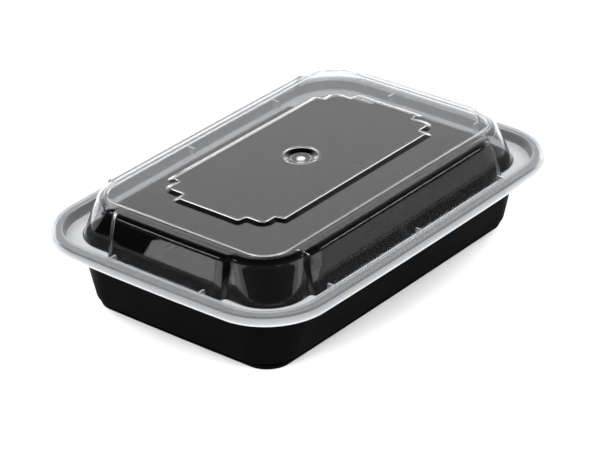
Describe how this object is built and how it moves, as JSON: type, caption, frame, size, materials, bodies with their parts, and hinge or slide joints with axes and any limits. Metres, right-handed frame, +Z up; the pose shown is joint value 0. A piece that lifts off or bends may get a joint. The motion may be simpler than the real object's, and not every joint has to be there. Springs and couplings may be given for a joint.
{
  "type": "takeaway meal container",
  "caption": "Rectangular takeaway meal container: black moulded tray with tapered walls and a clear domed push-fit lid with a frosted rim, closed and empty.",
  "frame": {"origin": "centre of the tray's flat bottom, at the height that it rests on", "axes": "+X along the long side, +Y along the short side, +Z up"},
  "size_m": [0.2252, 0.1588, 0.057],
  "materials": {
    "tray_black": "black moulded polypropylene, fine matte outside and glossy inside",
    "lid_clear": "clear glossy moulded polypropylene, frosted on the rim and skirt"
  },
  "bodies": {
    "root": {"tray": "tray_black", "lid": "lid_clear"}
  },
  "joints": []
}
